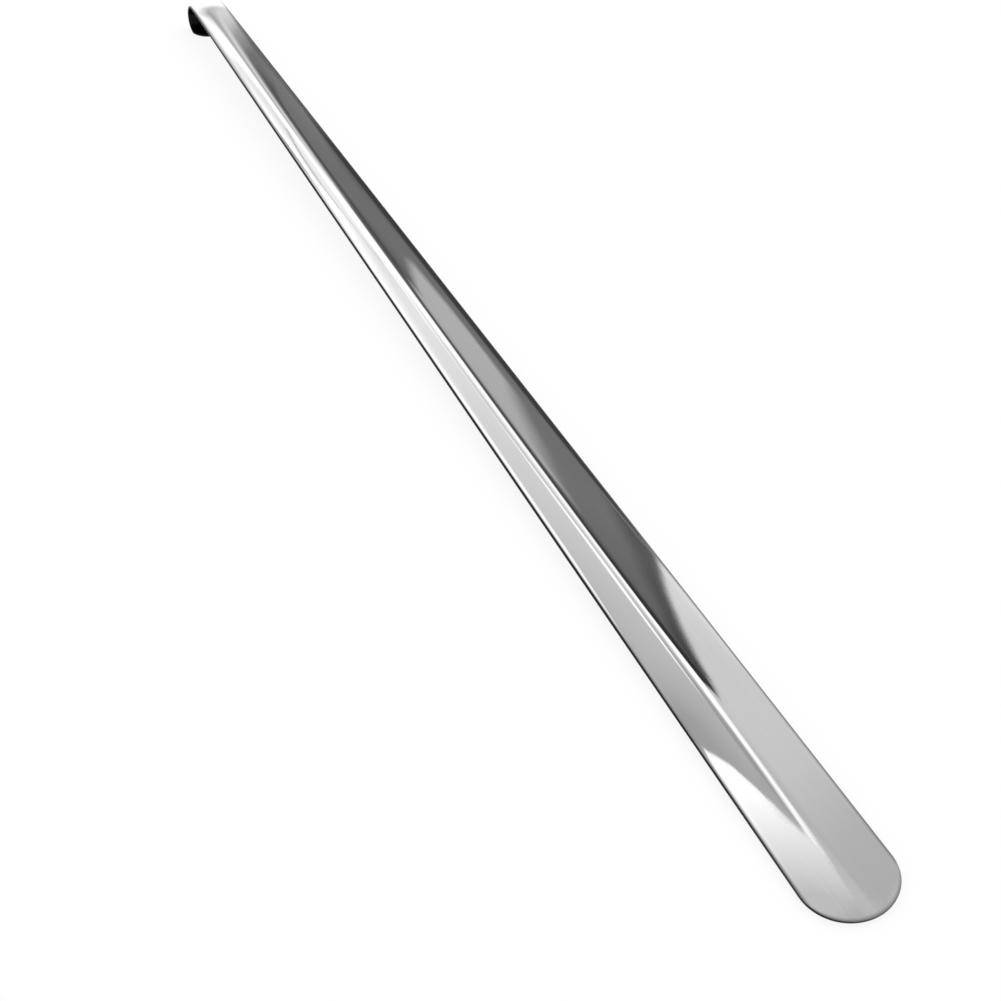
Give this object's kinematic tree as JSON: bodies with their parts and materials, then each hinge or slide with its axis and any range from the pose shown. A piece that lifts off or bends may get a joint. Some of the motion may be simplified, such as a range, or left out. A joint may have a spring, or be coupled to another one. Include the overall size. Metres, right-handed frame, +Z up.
{
  "type": "long shoehorn",
  "caption": "Long mirror-polished steel shoehorn: a tapered strip with a V trough, a broad round-tipped blade and an end bent back into a hanging hook.",
  "frame": {"origin": "on the table, under the middle of the length", "axes": "+Y from the blade's tip to the hook, +X across the strip, +Z up out of the trough"},
  "size_m": [0.0462, 0.8, 0.02],
  "materials": {
    "polished_steel": "mirror-polished stainless steel sheet"
  },
  "bodies": {
    "root": {"blade": "polished_steel", "shaft": "polished_steel", "hook": "polished_steel"}
  },
  "joints": []
}
